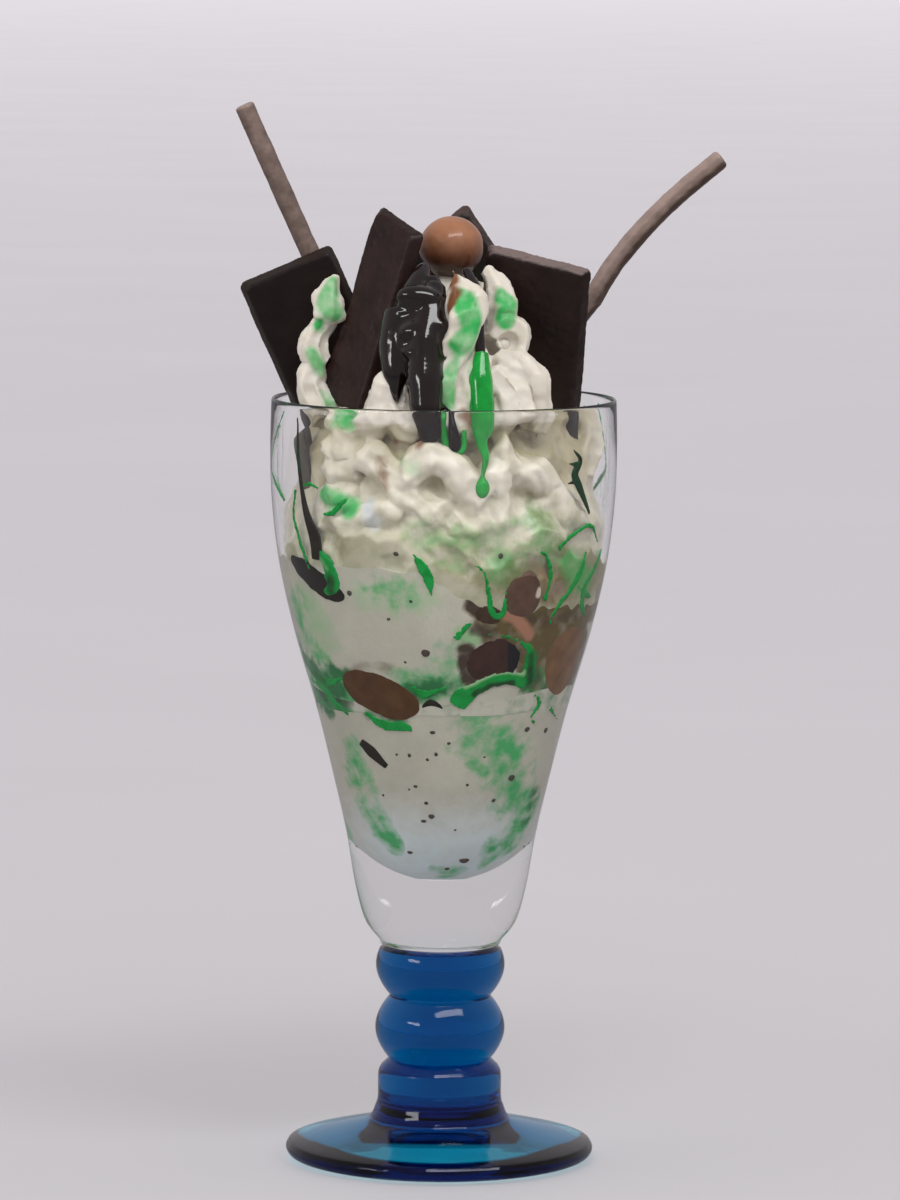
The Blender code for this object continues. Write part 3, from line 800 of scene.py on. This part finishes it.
# (points, radii); chocolate sauce first
sauceRopes = [
    ([(-5, -17, 241), (-6.5, -20, 237), (-8, -23, 231), (-9, -26, 226)], (1.6, 3.4, 5.2, 6.4)),
    ([(-11, -25, 229), (-12.6, -28, 220), (-12.6, -31, 212), (-12.3, -33, 205.8)], (5, 5, 3.4, 1)),
    ([(-7.5, -26, 228), (-8.5, -29, 220), (-8, -31.5, 213)], (5.4, 5.6, 3)),
    ([(-3.5, -21, 238), (-1.8, -24, 232), (-2.4, -27, 226)], (2, 3, 3.2)),
    ([(-2.5, -24, 236), (-3.5, -28, 229), (-4.6, -32, 221), (-4.9, -35.5, 212), (-4.6, -38.2, 204.5),
      (-3.7, -39.8, 199.5)], (3, 4.8, 5, 4.9, 4.3, 3.3)),
    ([(5.5, -19, 240), (7.6, -23.5, 235.5), (8.6, -27, 229.5), (9.2, -30.5, 222), (9.9, -34, 214),
      (10, -36.5, 207.5)], (1.5, 2.2, 2, 1.8, 1.5, 0.5)),
    ([(1.2, -36.6, 206.5), (2.3, -39.4, 200.5), (3, -40.4, 195.5)], (0.8, 1.2, 1.7)),
]
# thicker folds where the sauce piled up, and the rounded ends of its runs: (place, size, turn)
sauceLumps = [
    ((-3.7, -39.8, 198.6), (3.3, 2.6, 3.4), (0, 0, 0)), ((3, -40.4, 195.2), (1.8, 1.4, 2.2), (0, 0, 0)),
    ((-6, -28.5, 232), (7, 3.4, 4), (20, 12, 0)), ((-5.2, -31.5, 224.6), (7.4, 3.6, 3.6), (15, -10, 0)),
    ((-5, -33.5, 218.5), (6.6, 3.6, 2.2), (10, 8, 0)), ((-4.9, -36.2, 211.8), (5.6, 2.8, 2), (10, -9, 0)),
    ((-4.5, -38, 205.4), (5, 2.4, 1.9), (10, 7, 0)), ((-12, -28.5, 223), (4.6, 3.4, 5), (0, 0, 0)),
]
syrupRopes = [
    ([(9.8, -33, 219), (9.5, -35, 212), (9.9, -37, 205), (10.1, -38.6, 199.5), (9.7, -39.6, 196.2),
      (10.9, -40.2, 192), (10.2, -40.6, 188), (10, -40.8, 185.4)], (1.8, 3.3, 3.4, 3, 1.6, 1, 0.6, 0.8)),
    ([(-0.4, -38.2, 202.5), (0, -38.8, 197.5), (2.2, -39.6, 193.4), (4.8, -39.4, 194.2), (5.3, -38.6, 199)],
     (1.3, 1.2, 1.2, 1.1, 0.7)),
]


def makeSauces():
    sauce = joined([rope(line, radii) for line, radii in sauceRopes]
                   + [lump(place, size, turn) for place, size, turn in sauceLumps], "chocolateSauce")
    remeshed(sauce, sauces["voxel"], *sauces["smoothing"])
    roughened(sauce, *sauces["folds"], depth=0)
    glossy = foodMaterial("chocolateSauce", (10, 4, 3), (22, 8, 5), 0.16, scale=120, bump=(0.03, 0.3),
                          specular=0.08)
    # it is wet where it lies open, and duller behind the glass
    paint(sauce, "wet", (points(sauce)[:, 2] - sauces["wetAbove"]) / 3)
    tree = glossy.node_tree
    wet = addNode(tree, "Attribute", attribute_name="wet")
    feed(tree, tree.nodes["Principled BSDF"], {"Coat Weight": wet.outputs["Fac"]})
    finished(sauce, glossy, angle=180)
    drips = [rope(line, radii) for line, radii in syrupRopes]
    syrup = joined(drips + [lump(*sauces["lastDrop"])], "mintSyrupDrips")
    remeshed(syrup, sauces["dripVoxel"], 4)
    green = foodMaterial("mintDrip", (0, 112, 32), (6, 156, 56), 0.15, scale=260, bump=(0.12, 0.3), soft=0.2,
                         softRadius=(0.3, 2.4, 0.6), coat=0.5, specular=0.2)
    finished(syrup, green, angle=180)


makeSauces()

print("stage: toppings")

trails = {
    "voxel": 0.3,
    "rough": (1.1, 0.7),  # size and strength
    "reach": 0.5,  # into the wall, and the dark ones a little more, so that they lie on top
    "darkReach": 0.56,
}
# (points as (x, height), half widths)
wallTrails = [
    ([(-42.5, 202), (-45, 194), (-45.9, 186.5), (-44.5, 182), (-42.5, 178.5)], (0.35, 0.5, 0.6, 0.9, 0.5)),
    ([(-39.5, 182), (-40, 175), (-38.5, 169), (-36.5, 163), (-35, 160)], (0.5, 0.6, 0.7, 0.7, 0.5)),
    ([(-38.5, 183), (-36, 183.8), (-33.5, 183)], (0.4, 0.6, 0.4)),
    ([(-32, 176.3), (-29.5, 176.8), (-28, 178.6), (-25.4, 181)], (0.4, 0.9, 0.9, 0.4)),
    ([(-33.5, 166), (-31.2, 163.5), (-29.8, 160), (-29.5, 157.4), (-31.5, 155.4)], (1, 1.9, 2.6, 2.4, 1)),
    ([(-8, 167), (-5.4, 163.5), (-3.6, 160), (-3, 156.2)], (0.3, 1.5, 1.4, 0.4)),
    ([(31, 167.5), (34.5, 170.8), (39.5, 172.8), (41.5, 168)], (0.8, 0.6, 0.7, 0.3)),
    ([(24, 168.5), (28, 165.5), (29, 160.5), (27.4, 154)], (0.3, 0.6, 0.8, 0.7)),
    ([(7.4, 165.2), (11.3, 161.8), (12.4, 156), (13.2, 152), (14.8, 150.4), (16.5, 152), (17.3, 157)],
     (0.3, 0.6, 0.8, 1, 1.1, 0.9, 0.4)),
    ([(38.5, 166), (36.5, 160), (33, 154.5), (30, 150.5), (28.5, 146)], (0.4, 1.3, 0.8, 0.7, 0.3)),
    ([(42.5, 166), (40.6, 161), (38, 156.5), (37.5, 151), (38.6, 148)], (0.5, 1.2, 0.9, 1.2, 0.4)),
    ([(35, 158), (38.5, 154.5), (40, 153)], (0.4, 0.9, 0.4)),
    ([(3.6, 144.6), (7, 148.2), (8.6, 147)], (1, 0.8, 0.2)),
    ([(9.4, 144), (13, 145.6), (17.4, 144.8), (21, 143.2), (23.6, 141), (23.8, 137), (22.8, 131.6)],
     (0.3, 0.4, 0.6, 0.6, 1.2, 1.9, 2.4)),
    ([(4.2, 126.4), (5.6, 128.6), (9, 130.8), (13.6, 133), (18.4, 133.4), (22.6, 132.4)],
     (2.4, 3, 2, 2, 1.9, 2.4)),
    ([(-37, 134.8), (-34, 131.6), (-30.5, 130.8), (-27, 132.5)], (0.4, 1.6, 1.2, 0.5)),
    ([(-35.5, 130.5), (-32, 128.6), (-29.5, 125.6), (-25.5, 122.5)], (0.6, 1.4, 1.3, 0.6)),
    ([(-21, 123.6), (-16, 120.6), (-11, 120.4), (-8, 119.6)], (0.7, 1.5, 1.6, 0.7)),
    ([(-8, 131.5), (-5, 129.4), (-1, 130.6), (2, 131.6)], (0.6, 1.3, 0.8, 0.3)),
    ([(24, 130), (26.5, 126), (24.5, 122), (26.5, 119.6)], (0.5, 0.9, 0.7, 0.3)),
    ([(29.5, 124), (31.5, 120)], (0.9, 0.5)),
]
darkTrails = [
    ([(34.5, 193.5), (36.6, 190.5), (35.2, 187), (36.4, 183.5), (39.2, 176)], (0.3, 0.9, 1.3, 1.3, 0.5)),
    ([(33.5, 189.8), (36, 189.4)], (0.3, 0.9)), ([(33.2, 184.6), (36, 185)], (0.3, 0.9)),
    ([(-38.8, 201), (-38.8, 191), (-37.8, 182), (-36.5, 175.5), (-34.4, 169.5), (-33.8, 164)],
     (0.4, 0.8, 0.9, 1.4, 2.2, 2)),
    ([(7.5, 129.8), (11.5, 131), (15, 132.8), (19.5, 132.6)], (0.4, 0.8, 0.8, 0.4)),
    ([(-6.6, 124.8), (-3, 127.2), (0.6, 124.9), (-6, 124.8)], (0.3, 1.2, 0.3, 0.3)),
    ([(-22.4, 115.4), (-19.5, 112.8), (-15.4, 109)], (1.3, 2, 1)),
]
fleckPlaces = [
    (-2.5, 119, 0.8), (2, 116, 0.6), (-1.5, 113, 0.6), (-4, 111.5, 0.5), (-9, 112.5, 0.6),
    (-12.5, 112.5, 0.45), (-7.5, 104, 0.6), (7.5, 104.5, 0.5), (15.5, 100, 0.6), (20, 106, 1.2),
    (-5.5, 94.5, 0.8), (-3, 96, 0.9), (-4.5, 99.5, 0.6), (-11.5, 85.5, 0.8), (9.5, 83.5, 1.3), (3, 81, 0.6),
    (23.5, 119, 1), (28.5, 118, 1), (-12.5, 167, 0.8), (-25, 156, 0.9), (-14.5, 149.5, 0.6), (-4.5, 141, 1.3),
    (-8.5, 154.5, 0.6), (-10, 138, 0.5), (15.5, 166.5, 0.7), (-9.4, 103, 0.35), (4.6, 92, 0.4),
    (-17, 101, 0.4), (12, 112, 0.4),
]
flecksBehind = 60


def onGlass(line, widths, reach, flat=0.5):
    # syrup run on the glass: a rope laid on the wall, then flattened against it
    route = [tuple(onWall(x, height)) for x, height in line]
    trail = rope(route, widths, sides=12)
    co = points(trail)
    wall = wallIn(co[:, 2])
    radius = np.hypot(co[:, 0], co[:, 1])
    new = np.minimum(wall + (radius - wall) * flat, wall + reach)
    co[:, 0] *= new / radius
    co[:, 1] *= new / radius
    movePoints(trail, co)
    return trail


def turnedRound(pieces):
    # the same again on the far side, half a turn round
    made = []
    for piece in pieces:
        pick(piece)
        bpy.ops.object.duplicate()
        copy = bpy.context.object
        editAll(copy)
        bpy.ops.transform.rotate(value=math.pi, orient_axis="Z", center_override=(0, 0, 0))
        bpy.ops.object.mode_set(mode="OBJECT")
        made.append(copy)
    return pieces + made


runStains = {
    "pale": [
        ([(6.5, 131.6), (13.6, 135), (18, 135.4), (22, 134.6)], 0.5, 0.6, 0.9),
        ([(-33, 164.5), (-31, 162)], 0.3, 0.8, 0.5),
    ],
    "deep": [
        ([(9, 129.4), (13, 131.2), (19, 131.9)], 0.6, 0.8, 1), ([(24, 139), (23.6, 132)], 0.5, 1.2, 0.8),
        ([(-30, 159), (-30, 156)], 0.8, 1.2, 0.8), ([(-36, 133), (-32, 131)], 0.8, 1, 0.6),
    ],
}
darkRunStains = {
    "mint": [([(34, 192), (39, 176)], 2, 1, 0.8), ([(-40, 196), (-38, 188)], 1, 1, 0.6)],
}


def makeTrails():
    runs = joined(turnedRound([onGlass(line, widths, trails["reach"]) for line, widths in wallTrails]),
                  "mintSyrupTrails")
    remeshed(runs, trails["voxel"], 2)
    roughened(runs, *trails["rough"])
    pressed(runs, trails["reach"])
    stained(runs, runStains)
    green = foodMaterial("mintTrail", (0, 128, 44), (6, 164, 72), 0.3, scale=320, bump=(0.05, 0.2),
                         specular=0.1,
                         stains=[("pale", (142, 184, 134), 1.0), ("deep", (16, 66, 26), 1.4)])
    finished(runs, green, angle=180)
    dark = foodMaterial("darkTrail", (24, 20, 12), (38, 32, 20), 0.5, scale=200, bump=(0.2, 0.2),
                        specular=0.1,
                        stains=[("mint", (20, 62, 36), 0.6)])
    darkRuns = joined(turnedRound([onGlass(line, widths, trails["darkReach"]) for line,
                                   widths in darkTrails]),
                      "chocolateTrails")
    remeshed(darkRuns, trails["voxel"], 2)
    stained(darkRuns, darkRunStains)
    finished(darkRuns, dark, angle=180)


def makeFlecks():
    maker = random.Random(seed)
    places = [(onWall(x, z), size) for x, z, size in fleckPlaces]
    for _ in range(flecksBehind):
        height = maker.uniform(82, 152)
        angle = maker.uniform(0.55 * math.pi, 1.45 * math.pi)
        radius = float(wallIn(height))
        places.append((Vector((radius * math.sin(angle), -radius * math.cos(angle), height)),
                       maker.uniform(0.3, 0.9)))
    flecks = []
    for place, size in places:
        out = math.degrees(math.atan2(place.y, place.x))
        flecks.append(lump(place, (0.45, size, size * maker.uniform(0.75, 1.1)),
                           (maker.uniform(-20, 20), 0, out), detail=2))
    piece = joined(flecks, "chocolateFlecks")
    roughened(piece, 0.6, 0.25)
    fleck = foodMaterial("fleckChocolate", (44, 34, 26), (66, 52, 40), 0.5, scale=600, bump=(0.2, 0.1))
    finished(piece, fleck, angle=180)


def makeTopBall():
    # a chocolate shell, painted darker underneath as painted shade
    low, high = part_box("malt_ball_top")
    deselectAll()
    bpy.ops.mesh.primitive_ico_sphere_add(subdivisions=6, radius=(high.z - low.z) / 2,
                                          location=(low + high) / 2,
                                          scale=(1.02, 1, 0.98))
    ball = settle(bpy.context.object)
    ball.name = "maltBallTop"
    roughened(ball, 9, 0.55)
    roughened(ball, 1.6, 0.10)
    co = points(ball)
    # painted shade: the lower part of the ball is painted a deep brown
    paint(ball, "cocoa", np.clip((co[:, 2].mean() + 4 - co[:, 2]) / 9, 0, 1))
    shell = foodMaterial("maltBallShell", (134, 86, 56), (162, 112, 80), 0.34, scale=140, bump=(0.12, 0.25),
                         grainScales=(500, 1800), coat=0.3, specular=0.3, soft=0.05,
                         stains=[("cocoa", (56, 22, 8), 0.5)])
    finished(ball, shell, ["malt_ball_top"], angle=180)


def pieceName(node):
    first, *rest = node.split("_")
    return first + "".join(word.title() for word in rest)


pressedPieces = {
    # node: (x, height, half width, half height, tilt, corners, dark tone, light tone)
    "malt_ball_left": (-17.4, 129, 11.4, 6, -20, 0, (70, 42, 16), (96, 64, 32)),
    "malt_ball_right": (33.6, 138, 8.6, 10.6, 8, 0, (104, 72, 44), (134, 100, 68)),
    "malt_ball_upper": (21.8, 156.6, 6, 6.4, 0, 0, (70, 50, 36), (106, 80, 66)),
    "chocolate_piece_left": (-34.8, 159, 11.5, 3.4, -24, 0.3, (18, 16, 10), (32, 28, 20)),
    "chocolate_piece_front": (14.2, 139, 7.6, 6.4, 4, 0.7, (40, 22, 14), (72, 42, 34)),
    "chocolate_piece_upper": (12, 151.5, 4.6, 3, -20, 0.5, (48, 32, 18), (78, 54, 36)),
}


# a dark strip in the front piece and a painted highlight, a pale glint, on the upper ball
pieceStains = {
    "navy": [([(19.4, 144), (19.4, 134)], 1.6, 0.5, 1)],
    "glint": [([(26, 157), (25.6, 155.6)], 0.5, 0.6, 1)],
}


def makePressedPieces():
    # what was pushed in against the glass: flat where it touches, the rest in the ice cream
    for node, (x, height, wide, tall, tilt, corners, dark, light) in pressedPieces.items():
        name = pieceName(node)
        place = onWall(x, height, 2.2)
        out = math.degrees(math.atan2(place.y, place.x))
        piece = settle(lump(place, (wide * 0.8, wide, tall), (tilt, 0, out), detail=6))
        piece.name = name
        roughened(piece, 7, 1.4)
        roughened(piece, 2.0, 0.3 + corners)
        pressed(piece, filling["intoWall"] + 0.12)
        # the pale spot on the upper ball is a painted highlight
        stained(piece, pieceStains, everyHalfTurn=False)
        shell = foodMaterial(name + "Shell", dark, light, 0.5, scale=240, bump=(0.12, 0.25),
                             grainScales=(500, 1800),
                             specular=0.15,
                             stains=[("navy", (14, 12, 18), 0.4), ("glint", (206, 196, 180), 0.4)])
        finished(piece, shell, [node], angle=180)


def fromFrame(node, name):
    # a working copy of a node's shape, its loose faces welded and its flats cleaned
    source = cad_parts[node]
    piece = bpy.data.objects.new(name, source.data.copy())
    bpy.context.scene.collection.objects.link(piece)
    editAll(piece)
    bpy.ops.mesh.remove_doubles(threshold=1e-6)
    bpy.ops.mesh.dissolve_limited(angle_limit=math.radians(2))
    bpy.ops.object.mode_set(mode="OBJECT")
    return piece


def pointNormals(piece):
    normals = np.empty(len(piece.data.vertices) * 3, np.float32)
    piece.data.vertices.foreach_get("normal", normals)
    return normals.reshape(-1, 3)


def flanks(piece, lit):
    # how far each point of a plate lies on its narrow sides, 0 on the two faces, where the sides get painted
    # shading; with painted light only those facing up are kept
    co = points(piece)
    axes = np.linalg.svd(co - co.mean(0), full_matrices=False)[2]
    normals = pointNormals(piece)
    sideShading = 1 - np.clip((np.abs(normals @ axes[2]) - 0.55) / 0.4, 0, 1)
    return sideShading * np.clip((normals[:, 2] - 0.2) * 2.5, 0.05, 1) if lit else sideShading


plates = {
    "bevel": 0.6,
    "voxel": 0.4,
    "warp": (9, 0.6),  # size and strength
    # the left front one stands out a little further than its frame
    "grown": 1.06,
    "moved": (-1.6, -0.5, 0.2),
}
chocolatePlates = {
    # node: (face tones, side tone of painted light and shade, pitting)
    "mint_thin_left_back": ((18, 9, 7), (26, 15, 11), (40, 31, 26), 0.12),
    "mint_thin_left_front": ((24, 12, 10), (50, 32, 28), (36, 21, 18), 0.2),
    "mint_thin_right": ((18, 9, 7), (38, 24, 20), (110, 96, 92), 0.3),
    "mint_thin_back": ((20, 22, 18), (34, 30, 25), (74, 60, 56), 0.2),
    "mint_thin_sunk": ((34, 29, 24), (52, 44, 36), (60, 54, 44), 0.2),
}


def makePlates():
    for node, (dark, light, sideShading, pits) in chocolatePlates.items():
        name = pieceName(node)
        piece = fromFrame(node, name)
        applied(piece, "BEVEL", width=plates["bevel"] * mm, segments=3, limit_method="ANGLE",
                angle_limit=math.radians(25))
        remeshed(piece, plates["voxel"], 2)
        if node == "mint_thin_left_front":
            co = points(piece)
            movePoints(piece, (co - co.mean(0)) * plates["grown"] + co.mean(0) + plates["moved"])
        roughened(piece, *plates["warp"])
        roughened(piece, 1.3, pits, depth=1)
        # painted light and shade on the narrow sides of each thin; on the right and back thins only on the
        # upper sides, as painted light
        paint(piece, "flank", flanks(piece, node in ("mint_thin_right", "mint_thin_back")))
        chocolate = foodMaterial(name + "Chocolate", dark, light, 0.42, scale=130, bump=(0.35, 0.22),
                                 grainScales=(420, 1500), specular=0.22, stains=[("flank", sideShading, 0.35)])
        finished(piece, chocolate, [node], angle=180)


stick = {
    "nodes": ("chocolate_stick_left", "chocolate_stick_right"),
    "litFrom": (-0.3, -0.45, 0.84),  # the side that is painted paler, as painted light
    "sunkBelow": 229,
    "lean": 0.5,
}


def makeSticks():
    for node in stick["nodes"]:
        name = pieceName(node)
        piece = fromFrame(node, name)
        remeshed(piece, 0.35, 6)
        if node == "chocolate_stick_right":
            co = points(piece)  # its sunk end leans in behind the thin
            co[:, 0] -= np.clip(stick["sunkBelow"] - co[:, 2], 0, 40) * stick["lean"]
            movePoints(piece, co)
        roughened(piece, 5, 0.35)
        roughened(piece, 0.9, 0.08)
        # painted light: each stick is painted paler on the side facing up towards the lamp
        paint(piece, "lit", pointNormals(piece) @ np.array(stick["litFrom"]) * 0.8 + 0.1)
        tone = foodMaterial(name + "Chocolate", (50, 34, 26), (74, 56, 46), 0.4, scale=150, bump=(0.3, 0.2),
                            grainScales=(300, 1600), specular=0.4, stains=[("lit", (150, 130, 120), 0.8)])
        finished(piece, tone, [node], angle=180)


makeTrails()
makeFlecks()
makeTopBall()
makePressedPieces()
makePlates()
makeSticks()

print("stage: camera and floor")

studio = {
    "distance": 1.700,
    "height": 0.333,
    "sideways": 0.00196,
    "pitch": 6.13,
    "roll": 0.385,
    "lens": 192,
    "floorRadius": 60.0,
    "paper": ((243, 242, 243), (248, 247, 248)),
    "paperNear": 0.53,  # how much greyer the paper is painted where the lamps stand close, as painted shade that evens out their light
    "paperPales": (0.67, 2.19),  # and where it grows pale, as fourth roots of the distance in metres
    # the paper's colour in a gloss: painted darker, as a painted dimming of its reflections
    "paperMirrored": (136, 136, 138),
    "room": (0.985, 0.94, 0.985, 1),
    # shares of the room's light: behind the camera, in a gloss, and seen through the glass
    "roomBehind": 0.8,
    "roomMirrored": 0.45,
    "roomThrough": 0.53,
    # name, place, longer side in metres, watts
    "lights": (("keyLight", (0.5, -1.1, 1.7), 1.7, 19), ("fillLight", (-1.4, -1.1, 0.9), 0.8, 5)),
}


def raysSeen(tree):
    # which rays are mirrored in the open, and which came through the glass
    path = addNode(tree, "LightPath").outputs
    mirrored = addNode(tree, "Math", {0: path["Is Glossy Ray"], 1: path["Is Transmission Ray"]},
                       operation="SUBTRACT", use_clamp=True)
    return mirrored.outputs[0], path["Is Transmission Ray"]


def makeFloor():
    deselectAll()
    bpy.ops.mesh.primitive_circle_add(vertices=96, radius=studio["floorRadius"], fill_type="NGON",
                                      location=(0, 0, -0.0003))
    floor = bpy.context.object
    floor.name = "studioFloor"
    material, tree, shader = newMaterial("floorPaper")
    dark, light = studio["paper"]
    paper = placeGroup(tree, mottle, Dark=rgb(*dark), Light=rgb(*light), Scale=3.0)
    where = addNode(tree, "TexCoord").outputs["Object"]
    reach = addNode(tree, "VectorMath", {0: where}, operation="LENGTH").outputs["Value"]
    root = addNode(tree, "Math", {0: reach, 1: 0.25}, operation="POWER").outputs[0]
    near, far = studio["paperPales"]
    away = addNode(tree, "MapRange",
                   {"Value": root, "From Min": near, "From Max": far, "To Min": studio["paperNear"]})
    even = mixColour(tree, 1.0, paper.outputs["Color"], away.outputs["Result"], "MULTIPLY")
    shade = mixColour(tree, raysSeen(tree)[0], even, rgb(*studio["paperMirrored"]))
    feed(tree, shader, {"Base Color": shade, "Roughness": 0.6})
    floor.data.materials.append(material)


def makeCamera():
    bpy.ops.object.camera_add(location=(studio["sideways"], -studio["distance"], studio["height"]))
    camera = bpy.context.object
    camera.rotation_mode = "ZXY"
    camera.rotation_euler = (math.radians(90 - studio["pitch"]), 0, math.radians(studio["roll"]))
    camera.data.lens = studio["lens"]
    camera.data.clip_end = 200
    bpy.context.scene.camera = camera


def makeRoom():
    world = bpy.data.worlds.new("studioWorld")
    world.use_nodes = True
    sky = world.node_tree
    split = addNode(sky, "SeparateXYZ", {"Vector": addNode(sky, "TexCoord").outputs["Generated"]})
    level = addNode(sky, "MapRange", {"Value": split.outputs["Y"], "From Min": -1.0, "From Max": 0.2,
                                      "To Min": studio["roomBehind"]}).outputs["Result"]
    mirrored, seenThrough = raysSeen(sky)
    for rays, share in ((mirrored, studio["roomMirrored"]), (seenThrough, studio["roomThrough"])):
        dimmed = addNode(sky, "MapRange", {"Value": rays, "To Min": 1.0, "To Max": share}).outputs["Result"]
        level = addNode(sky, "Math", {0: level, 1: dimmed}, operation="MULTIPLY").outputs[0]
    shade = mixColour(sky, level, (0, 0, 0, 1), studio["room"])
    feed(sky, sky.nodes["Background"], {"Color": shade, "Strength": 1.0})
    bpy.context.scene.world = world
    bpy.context.scene.view_settings.view_transform = "Standard"


def makeLights():
    for name, place, size, power in studio["lights"]:
        bpy.ops.object.light_add(type="AREA", location=place)
        light = bpy.context.object
        light.name = name
        light.data.shape = "RECTANGLE"
        light.data.size = size
        light.data.size_y = size / 4
        light.data.energy = power
        light.rotation_mode = "QUATERNION"
        light.rotation_quaternion = (Vector(place) - Vector((0, 0, 0.15))).to_track_quat("Z", "Y")


makeFloor()
makeCamera()
makeRoom()
makeLights()
